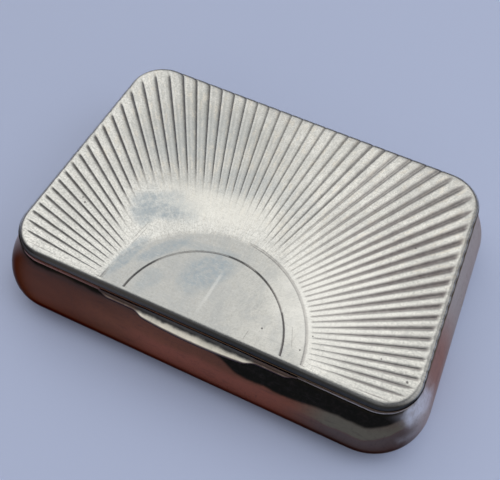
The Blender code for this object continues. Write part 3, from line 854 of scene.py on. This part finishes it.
def lid_silver():
    """Worn silver of the lid: warm white, bluish smudges, dark tarnish with painted shade in the flutes,
    painted highlights, and painted shade and reflections on the rolled edge.
    """
    paint = Paint("lid_silver_wear_and_painted_light")
    grain = paint.noise(3.0, 4, 0.7)
    mottle = paint.noise(0.16, 4, 0.55)
    radius = paint.vector("LENGTH", paint.vector("SUBTRACT", paint.place, (0.0, FRONT, TOP)))
    streak_place = paint.around((0.0, FRONT), 26.0, 0.16)
    streaks = paint.noise(4.0, 3, 0.6, place=streak_place)
    white = lid_ground(paint, radius, mottle)
    white = lid_streaks(paint, white, grain, streaks, streak_place)
    white = lid_smudges(paint, white, radius)
    least = paint.step(paint.x, 0.0, 14.0, 0.45, 0.82)
    ragged = paint.step(paint.noise(0.9, 4, 0.6), 0.25, 0.75, least, 1.0)
    # tarnish with painted shade in the flutes, patina in the engraved ring and step
    stain_and_shade = paint.mix(paint.step(paint.x, 0.0, 16.0), *STAINS_AND_SHADE)
    colour = paint.mix(paint.times(paint.attribute("tarnish_and_shade"), ragged), white, stain_and_shade)
    colour = paint.mix(paint.times(hairlines(paint), 0.16), colour, LID_HAIRLINE)
    marks = lid_marks(paint)
    colour = paint.mix(paint.times(marks, 0.75), colour, MARK_DARK)
    for start, end in PALE_SCRATCHES:
        colour = paint.mix(paint.times(paint.scratch(start, end, PALE_WIDTH), 0.17), colour, MARK_PALE)
    # painted shade and dark reflection on the rolled edge and under the lid: near black in front, grey and
    # olive at the sides, bluish grey behind
    edge = paint.mix(paint.step(paint.x, -16.0, 12.0), *FRONT_EDGE_SHADES)
    side_and_back_shade = paint.mix(paint.step(paint.x, 10.0, 28.0), *SIDE_EDGE_SHADES)
    side_and_back_shade = paint.mix(paint.step(paint.y, 15.0, 20.0), side_and_back_shade, BACK_EDGE_SHADE)
    edge = paint.mix(paint.step(paint.y, -18.0, -12.0), edge, side_and_back_shade)
    shade = paint.attribute("shade")
    colour = paint.mix(paint.times(shade, 0.95), colour, edge)
    height = paint.math("ADD", paint.times(grain, 0.5), paint.times(marks, -0.8))
    height = paint.math("ADD", height, paint.times(streaks, 0.4))
    # the grazing reflection is darkened too where the shade is painted
    grazing = paint.mix(shade, NO_TINT, GRAZING_EDGE_SHADE)
    roughness = paint.step(mottle, 0.3, 0.7, 0.19, 0.25)
    return paint.finish(colour, roughness, paint.bump(height, 0.5, 0.06), grazing)


# Colours of the side band and the thumb lip
RIM_REFLECTION_BROWNS = ((0.43, 0.155, 0.09), (0.27, 0.18, 0.11))
RIM_DARK = (0.10, 0.075, 0.065)
RIM_BEHIND = (0.40, 0.37, 0.33)
RIM_HAIRLINE = (0.10, 0.08, 0.07)
RIM_EDGE_HIGHLIGHT = (0.70, 0.64, 0.60)
LIP_PALES = ((0.74, 0.70, 0.62), (0.58, 0.56, 0.50))
LIP_HOLLOW_SHADE = (0.06, 0.062, 0.07)
LIP_WING_REFLECTION = (0.15, 0.095, 0.075)
LIP_HAIRLINE = (0.25, 0.22, 0.20)
LIP_UNDER_EDGE_SHADE = (0.035, 0.025, 0.04)


def rim_silver():
    """Silver of the side band, with painted reflections: reddish brown at the left, greyer at the right
    and behind, and a painted highlight on its lower edge at the right.
    """
    paint = Paint("rim_silver_wear_and_painted_light")
    cloud = paint.noise(0.3, 4, 0.6, (0.4, 1.0, 1.0))
    # the browns are painted reflections
    reflection_brown = paint.mix(paint.step(paint.x, -24.0, 22.0), *RIM_REFLECTION_BROWNS)
    colour = paint.mix(paint.step(cloud, 0.35, 0.7, 0.0, 0.45), reflection_brown, RIM_DARK)
    colour = paint.mix(paint.step(paint.y, -18.0, -8.0), colour, RIM_BEHIND)
    colour = paint.mix(paint.times(hairlines(paint), 0.3), colour, RIM_HAIRLINE)
    # painted highlight along the lower edge, at the right
    low_edge = paint.step(paint.z, RIM_LOW + 0.28, RIM_LOW + 0.16)
    edge_highlight = paint.times(low_edge, paint.step(paint.x, 14.0, 24.0, 0.05, 0.95))
    colour = paint.mix(edge_highlight, colour, RIM_EDGE_HIGHLIGHT)
    roughness = paint.step(cloud, 0.3, 0.7, 0.22, 0.32)
    return paint.finish(colour, roughness, paint.bump(paint.noise(0.8, 3), 0.12, 0.05))


def lip_silver():
    """Silver of the thumb lip, worn pale by use, with painted shade in its hollow, wings darkened by
    painted reflection, and a painted shadow under its edge.
    """
    paint = Paint("lip_silver_wear_and_painted_light")
    colour = paint.mix(paint.step(paint.noise(0.5, 4, 0.6), 0.3, 0.7), *LIP_PALES)
    # painted shade in the hollow below the rolled edge
    ragged = paint.times(paint.math("SUBTRACT", paint.noise(0.7, 3, 0.55), 0.5), 1.0)
    inner = paint.step(paint.math("ADD", paint.y, ragged), LIP_ROOT - 0.85, LIP_ROOT - 0.30, 0.0, 0.94)
    colour = paint.mix(inner, colour, LIP_HOLLOW_SHADE)
    from_middle = paint.math("ABSOLUTE", paint.x)
    # the wings darkened: painted brown reflection
    wing = paint.step(from_middle, LIP_HALF_WIDTH + 0.4, LIP_HALF_WIDTH + 2.2, 0.0, 0.72)
    colour = paint.mix(wing, colour, LIP_WING_REFLECTION)
    colour = paint.mix(paint.times(hairlines(paint), 0.2), colour, LIP_HAIRLINE)
    # painted shadow on the face under the lip's edge
    under_edge_shade = paint.step(paint.z, LIP_LOW + 0.315, LIP_LOW + 0.30)
    colour = paint.mix(under_edge_shade, colour, LIP_UNDER_EDGE_SHADE)
    return paint.finish(colour, 0.3, paint.bump(paint.noise(1.5, 3), 0.15, 0.04))


# Colours of the base
BASE_REFLECTION_BROWNS = ((0.245, 0.094, 0.056), (0.172, 0.072, 0.045))
BASE_LEFT_REFLECTION = (0.13, 0.05, 0.035)
BASE_REFLECTION_STRIPE = (0.32, 0.108, 0.07)
BASE_LOW_SHADE = (0.15, 0.08, 0.07)
BASE_REFLECTION_GREY = (0.185, 0.16, 0.11)
BASE_LOW_RIGHT_REFLECTION = (0.125, 0.105, 0.095)
BASE_HIGH_SHADE = (0.12, 0.06, 0.045)
BASE_SEAM_SHADE = (0.05, 0.045, 0.04)
BASE_BLACK_REFLECTION = (0.014, 0.013, 0.010)
SIDE_REFLECTION_REDS = ((0.54, 0.28, 0.21), (0.44, 0.26, 0.21))
SIDE_REFLECTION_GREY = (0.60, 0.54, 0.50)
BACK_SILVER = (0.67, 0.63, 0.55)
LEFT_END_SILVER = (0.60, 0.56, 0.50)
UNDER_LID_SHADE = (0.16, 0.14, 0.12)
GLINT = (0.95, 0.95, 0.95)
LOW_GLINT = (0.60, 0.57, 0.55)
BASE_FINE_DARK = (0.08, 0.055, 0.05)
BASE_HAIRLINE = (0.05, 0.04, 0.04)
GRAZING_SIDE = (0.75, 0.62, 0.58)
GRAZING_FRONT = (0.40, 0.34, 0.34)
GRAZING_LOW_SHADE = (0.24, 0.17, 0.15)


def front_wall(paint, cloud):
    """The front wall, painted reflections and shade: brown, with a grey band and a black one that sweep up
    round the right corner.
    """
    wander = paint.times(paint.math("SUBTRACT", paint.noise(0.18, 3, shift=4.0), 0.5), 1.6)
    height = paint.math("ADD", paint.z, wander)
    # the browns and the reddish stripe are painted reflections
    reflection_brown = paint.mix(paint.step(cloud, 0.3, 0.7), *BASE_REFLECTION_BROWNS)
    reflection_brown = paint.mix(paint.step(paint.x, -12.0, -22.0, 0.0, 0.5), reflection_brown, BASE_LEFT_REFLECTION)
    reflection_stripe = paint.times(paint.step(paint.x, -14.0, -4.0), paint.step(paint.x, 22.0, 12.0))
    reflection_stripe = paint.times(reflection_stripe, paint.step(height, 8.6, 7.4), 0.8)
    reflection_brown = paint.mix(reflection_stripe, reflection_brown, BASE_REFLECTION_STRIPE)
    # painted shadow low on the wall
    reflection_brown = paint.mix(paint.step(paint.z, 5.6, 3.0), reflection_brown, BASE_LOW_SHADE)
    # the grey band and the dark low right are painted reflections that sweep up round the corner
    bend = paint.step(paint.x, 27.0, 35.5, 0.0, 2.6)
    grey_height = paint.math("SUBTRACT", height, bend)
    reflection_grey = paint.times(paint.step(paint.x, 16.0, 23.0), paint.step(grey_height, 6.7, 7.1))
    reflection_brown = paint.mix(reflection_grey, reflection_brown, BASE_REFLECTION_GREY)
    low_right_reflection = paint.step(paint.x, 14.0, 24.0, 0.0, 0.85)
    low_right_reflection = paint.times(low_right_reflection, paint.step(grey_height, 7.3, 6.6))
    reflection_brown = paint.mix(low_right_reflection, reflection_brown, BASE_LOW_RIGHT_REFLECTION)
    # painted shade high on the wall and under the lid's edge
    reflection_brown = paint.mix(paint.step(paint.z, 8.2, 10.6, 0.0, 0.45), reflection_brown, BASE_HIGH_SHADE)
    reflection_brown = paint.mix(paint.step(paint.z, 10.2, 11.3, 0.0, 0.55), reflection_brown, BASE_SEAM_SHADE)
    # the black band under the lid's edge is a painted dark reflection
    limit = paint.step(paint.x, -1.0, 9.0, 11.1, 8.3)
    limit = paint.math("ADD", limit, paint.step(paint.x, 15.0, 24.0, 0.0, 0.7))
    above = paint.math("SUBTRACT", paint.math("SUBTRACT", height, limit), paint.times(bend, 0.7))
    return paint.mix(paint.step(above, -0.1, 0.5), reflection_brown, BASE_BLACK_REFLECTION)


def side_walls(paint, cloud):
    """The base away from its front, painted reflections: reddish near it, then grey, and its own pale
    silver behind.
    """
    # the reds and the grey near the front are painted reflections
    rest = paint.mix(paint.step(cloud, 0.3, 0.7), *SIDE_REFLECTION_REDS)
    rest = paint.mix(paint.step(paint.y, -12.0, -17.0), rest, SIDE_REFLECTION_GREY)
    rest = paint.mix(paint.step(paint.y, -9.0, 1.0), rest, BACK_SILVER)
    rest = paint.mix(paint.step(paint.x, -24.0, -32.0, 0.0, 0.75), rest, LEFT_END_SILVER)
    # painted shade under the lid's edge
    return paint.mix(paint.step(paint.z, 11.2, 11.7), rest, UNDER_LID_SHADE)


def base_silver():
    """Silver of the base with painted reflections, shade and glints: brown in front, near black under the
    lid at the right.
    """
    paint = Paint("base_silver_wear_and_painted_light")
    cloud = paint.noise(0.12, 4, 0.6, (0.5, 1.0, 1.3))
    fine = paint.noise(1.6, 4, 0.7)
    to_front = paint.step(paint.y, -18.5, -22.3)
    colour = paint.mix(to_front, side_walls(paint, cloud), front_wall(paint, cloud))
    glint = paint.spot((34.2, -17.2), (1.3, 3.4), -30, 0.5, 0.5)
    glint = paint.times(glint, paint.step(paint.z, 6.5, 9.0), 0.8)
    colour = paint.mix(glint, colour, GLINT)
    low_glint = paint.spot((33.6, -20.6), (2.6, 1.6), 35, 0.6, 0.5)
    low_glint = paint.times(low_glint, paint.step(paint.z, 8.0, 6.0), 0.6)
    colour = paint.mix(low_glint, colour, LOW_GLINT)
    colour = paint.mix(paint.step(fine, 0.45, 0.9, 0.0, 0.35), colour, BASE_FINE_DARK)
    colour = paint.mix(paint.times(hairlines(paint), 0.22), colour, BASE_HAIRLINE)
    relief = paint.math("ADD", paint.noise(0.25, 2), paint.times(fine, 0.12))
    grazing = paint.mix(paint.step(paint.y, -17.5, -22.3), GRAZING_SIDE, GRAZING_FRONT)
    # grazing reflections darkened low down: painted shadow
    grazing = paint.mix(paint.step(paint.z, 5.2, 3.4), grazing, GRAZING_LOW_SHADE)
    roughness = paint.step(cloud, 0.3, 0.7, 0.18, 0.28)
    return paint.finish(colour, roughness, paint.bump(relief, 0.25, 0.08), grazing)


# Colours of the hinge, its pin and the bezel
HINGE_HAIRLINE = (0.16, 0.14, 0.13)
KNUCKLE_GREYS = ((0.60, 0.57, 0.53), (0.42, 0.39, 0.37))
PIN_GREYS = ((0.45, 0.42, 0.40), (0.30, 0.28, 0.27))
BEZEL_GREYS = ((0.66, 0.64, 0.58), (0.56, 0.54, 0.50))


def hinge_silver(name, first, second, roughness):
    """Silver of the hinge pieces or the bezel: two greys in clouds, with fine scratches."""
    paint = Paint(name)
    cloud = paint.noise(0.6, 4, 0.6)
    colour = paint.mix(paint.step(cloud, 0.35, 0.65), first, second)
    colour = paint.mix(paint.times(hairlines(paint), 0.3), colour, HINGE_HAIRLINE)
    return paint.finish(colour, roughness, paint.bump(paint.noise(2.0, 3), 0.2, 0.03))


def dress(piece, material):
    """Give a piece one material."""
    piece.data.materials.clear()
    piece.data.materials.append(material)


lid_top = make_lid_top()
base = make_base()
rim = make_rim()
thumb_lip = make_thumb_lip()
dress(lid_top, lid_silver())
dress(base, base_silver())
dress(rim, rim_silver())
dress(thumb_lip, lip_silver())

knuckle_metal = hinge_silver("worn_hinge_silver", *KNUCKLE_GREYS, 0.3)
pin_metal = hinge_silver("dull_pin_silver", *PIN_GREYS, 0.4)
bezel_metal = hinge_silver("inner_silver", *BEZEL_GREYS, 0.32)
for name, node in frame["nodes"].items():
    if "knuckle" in name or "bearer" in name:
        metal = knuckle_metal
    elif "pin" in name or "plug" in name:
        metal = pin_metal
    elif name == "base_bezel":
        metal = bezel_metal
    else:
        continue
    for slot in node.material_slots:
        slot.material = metal


# Camera at the photograph's viewing angle
CAMERA_PLACE = (19.03, -51.65, 93.91)
CAMERA_TURN = (31.491, -4.027, 23.737)
LENS = 43.159
SHIFT = (-0.0467, 0.0059)
camera_data = bpy.data.cameras.new("camera")
camera = bpy.data.objects.new("camera", camera_data)
bpy.context.scene.collection.objects.link(camera)
camera.location = Vector(CAMERA_PLACE) * MM
camera.rotation_euler = [math.radians(turn) for turn in CAMERA_TURN]
camera_data.sensor_width = 36
camera_data.lens = LENS
camera_data.shift_x, camera_data.shift_y = SHIFT
camera_data.clip_start = 0.001
camera_data.clip_end = 10
bpy.context.scene.camera = camera

# Floor
FLOOR_SIZE = 6
FLOOR_BLUE = (0.66, 0.74, 1.0, 1)
bpy.ops.mesh.primitive_plane_add(size=FLOOR_SIZE)
floor = bpy.context.active_object
floor.name = "floor"
floor_paint = bpy.data.materials.new("pale_floor")
floor_paint.use_nodes = True
floor_shader = floor_paint.node_tree.nodes["Principled BSDF"]
floor_shader.inputs["Base Color"].default_value = FLOOR_BLUE
floor_shader.inputs["Roughness"].default_value = 0.8
dress(floor, floor_paint)


def area_lamp(name, place, target, size, power, colour):
    """A square soft lamp, placed and aimed in millimetres."""
    data = bpy.data.lights.new(name, "AREA")
    data.shape = "SQUARE"
    data.size = size * MM
    data.energy = power
    data.color = colour
    lamp = bpy.data.objects.new(name, data)
    bpy.context.scene.collection.objects.link(lamp)
    lamp.location = Vector(place) * MM
    lamp.rotation_euler = (Vector(target) - Vector(place)).to_track_quat("-Z", "Y").to_euler()
    lamp.visible_glossy = False


area_lamp("key_lamp", (290, 90, 430), (0, 0, 0), size=380, power=0.44, colour=(0.86, 0.92, 1.0))

# The studio's sky: its darkest colour, then patches, each as its direction, the cosines of the angles
# from there at which it begins and is full, and its colour
SKY_TOWARDS = (-0.45, 0.55, 0.70)
SKY_DARK = (0.04, 0.04, 0.045)
SKY_PATCHES = (
    (SKY_TOWARDS, -0.3, 0.5, (0.13, 0.135, 0.15)),
    (SKY_TOWARDS, 0.45, 0.84, (0.97, 0.965, 0.94)),
    ((0, 0.95, -0.3), 0.35, 0.80, (0.10, 0.10, 0.115)),
    ((-1, 0.2, 0.1), 0.80, 0.96, (0.13, 0.13, 0.16)),
    ((0.75, 0.35, 0.5), 0.88, 0.98, (0.50, 0.50, 0.50)),
    ((0.15, -0.95, 0.27), 0.62, 0.90, (0.45, 0.45, 0.46)),
    ((0.95, -0.2, 0.25), 0.78, 0.94, (0.45, 0.45, 0.46)),
)


def make_world():
    """A bright panel behind and above to the left, dimmer ones low in front and at the right."""
    world = bpy.data.worlds.new("studio")
    bpy.context.scene.world = world
    world.use_nodes = True
    tree = world.node_tree
    background = tree.nodes["Background"]
    coordinates = tree.nodes.new("ShaderNodeTexCoord")

    def facing(direction, low, high):
        """How far a place in the sky lies within a patch, 0 to 1."""
        dot = tree.nodes.new("ShaderNodeVectorMath")
        dot.operation = "DOT_PRODUCT"
        tree.links.new(coordinates.outputs["Generated"], dot.inputs[0])
        dot.inputs[1].default_value = Vector(direction).normalized()
        node = tree.nodes.new("ShaderNodeMapRange")
        node.interpolation_type = "SMOOTHSTEP"
        tree.links.new(dot.outputs["Value"], node.inputs["Value"])
        node.inputs["From Min"].default_value = low
        node.inputs["From Max"].default_value = high
        return node.outputs["Result"]

    def blend(factor, first, second):
        """Mix of two colours, each of them a tuple or a socket."""
        node = tree.nodes.new("ShaderNodeMix")
        node.data_type = "RGBA"
        tree.links.new(factor, node.inputs["Factor"])
        for socket, value in ((node.inputs[6], first), (node.inputs[7], second)):
            if isinstance(value, tuple):
                socket.default_value = (*value, 1)
            else:
                tree.links.new(value, socket)
        return node.outputs[2]

    sky = SKY_DARK
    for direction, low, high, colour in SKY_PATCHES:
        sky = blend(facing(direction, low, high), sky, colour)
    tree.links.new(sky, background.inputs["Color"])
    background.inputs["Strength"].default_value = 1.0


make_world()
bpy.context.scene.view_settings.view_transform = "Standard"
